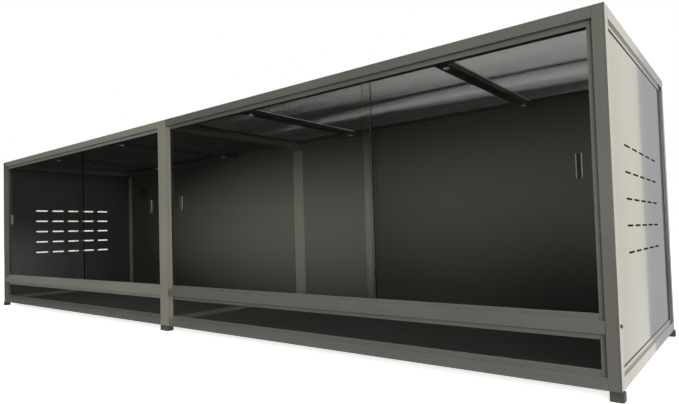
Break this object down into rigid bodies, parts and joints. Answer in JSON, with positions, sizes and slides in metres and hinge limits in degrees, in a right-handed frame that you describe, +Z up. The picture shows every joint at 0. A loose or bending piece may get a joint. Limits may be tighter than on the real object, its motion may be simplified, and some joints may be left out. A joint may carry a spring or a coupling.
{
  "type": "reptile enclosure",
  "caption": "Long low reptile enclosure: joined bays in a barred frame, with sliding glass doors, low windows, slotted end walls, a screen top and a cable port in the back wall.",
  "frame": {"origin": "on the surface it stands on, under the middle of the whole enclosure", "axes": "+X along the length towards the right end seen from the front, -Y out of the sliding doors, +Z up"},
  "size_m": [2.4434, 0.6146, 0.6246],
  "materials": {
    "frame": "satin charcoal powder coat with a slight olive cast",
    "panel": "smooth satin charcoal board",
    "screen": "black coated fine mesh",
    "crossbar": "satin black coat with bright screws",
    "door_glass": "clear polished glass",
    "window": "clear sheet",
    "track": "extruded dark plastic",
    "foot": "moulded dark plastic",
    "pull": "satin",
    "port_ring": "moulded black plastic",
    "port_seal": "soft black rubber",
    "screw": "darkened round head"
  },
  "bodies": {
    "enclosure_frame": {"front_left_post": "frame", "front_centre_post": "frame", "front_right_post": "frame", "rear_left_post": "frame", "rear_centre_post": "frame", "rear_right_post": "frame", "front_left_top_rail": "frame", "front_right_top_rail": "frame", "rear_left_top_rail": "frame", "rear_right_top_rail": "frame", "left_end_top_rail": "frame", "right_end_top_rail": "frame", "centre_top_rail": "frame", "front_left_bottom_rail": "frame", "front_right_bottom_rail": "frame", "rear_left_bottom_rail": "frame", "rear_right_bottom_rail": "frame", "left_end_bottom_rail": "frame", "right_end_bottom_rail": "frame", "centre_bottom_rail": "frame", "left_mid_rail": "frame", "right_mid_rail": "frame", "left_post_screw": "screw", "right_post_screw": "screw", "front_left_foot": "foot", "front_centre_foot": "foot", "front_right_foot": "foot", "rear_left_foot": "foot", "rear_centre_foot": "foot", "rear_right_foot": "foot", "left_end_wall": "panel", "right_end_wall": "panel", "left_back_wall": "panel", "right_back_wall": "panel", "left_floor": "panel", "right_floor": "panel", "left_low_window": "window", "right_low_window": "window", "left_screen": "screen", "right_screen": "screen", "left_screen_frame": "frame", "right_screen_frame": "frame", "outer_left_crossbar": "crossbar", "inner_left_crossbar": "crossbar", "inner_right_crossbar": "crossbar", "outer_right_crossbar": "crossbar", "left_lower_track": "track", "left_upper_track": "track", "right_lower_track": "track", "right_upper_track": "track", "cable_port_ring": "port_ring", "cable_port_seal": "port_seal"},
    "left_bay_left_sliding_door": {"left_bay_left_door": "door_glass", "left_bay_left_pull": "pull"},
    "left_bay_right_sliding_door": {"left_bay_right_door": "door_glass", "left_bay_right_pull": "pull"},
    "right_bay_left_sliding_door": {"right_bay_left_door": "door_glass", "right_bay_left_pull": "pull"},
    "right_bay_right_sliding_door": {"right_bay_right_door": "door_glass", "right_bay_right_pull": "pull"}
  },
  "joints": [
    {"name": "left_bay_left_door_slide", "type": "slide", "parent": "enclosure_frame", "child": "left_bay_left_sliding_door", "axis": [1, 0, 0], "range_m": [0, 0.4953]},
    {"name": "left_bay_right_door_slide", "type": "slide", "parent": "enclosure_frame", "child": "left_bay_right_sliding_door", "axis": [1, 0, 0], "range_m": [-0.6043, 0]},
    {"name": "right_bay_left_door_slide", "type": "slide", "parent": "enclosure_frame", "child": "right_bay_left_sliding_door", "axis": [1, 0, 0], "range_m": [0, 0.4419]},
    {"name": "right_bay_right_door_slide", "type": "slide", "parent": "enclosure_frame", "child": "right_bay_right_sliding_door", "axis": [1, 0, 0], "range_m": [-0.7086, 0]}
  ]
}
